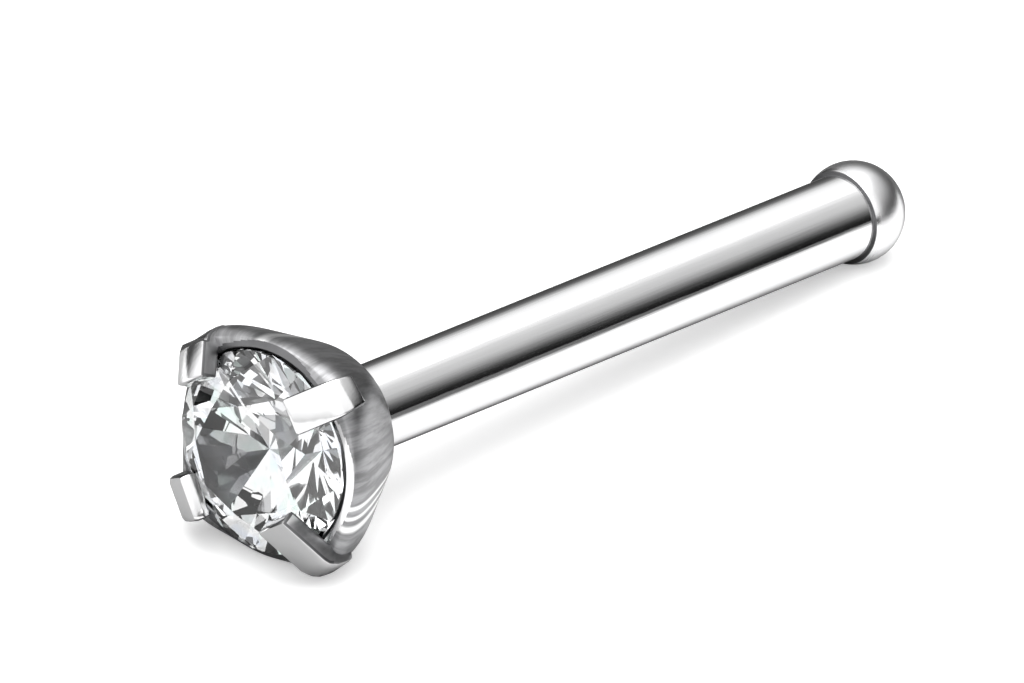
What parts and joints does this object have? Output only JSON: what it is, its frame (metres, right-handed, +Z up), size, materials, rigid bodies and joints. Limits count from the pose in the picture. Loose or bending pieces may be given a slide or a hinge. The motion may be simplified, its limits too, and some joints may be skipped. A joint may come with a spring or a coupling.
{
  "type": "nose stud",
  "caption": "Straight-post nose stud lying on its side: a round clear stone in a four-prong cup setting, a slim plain bar and a small ball end that keeps it in the piercing.",
  "frame": {"origin": "on the surface the stud lies on, below the middle of its bounding box", "axes": "+Z up from the surface, +X along the post from the stone to the ball end, with the post sloping down a few degrees towards the ball"},
  "size_m": [0.009, 0.002, 0.0021],
  "materials": {
    "polished_steel": "mirror-polished surgical steel",
    "clear_stone": "cut and polished colourless cubic zirconia"
  },
  "bodies": {
    "root": {"setting_and_post": "polished_steel", "stone": "clear_stone"}
  },
  "joints": []
}
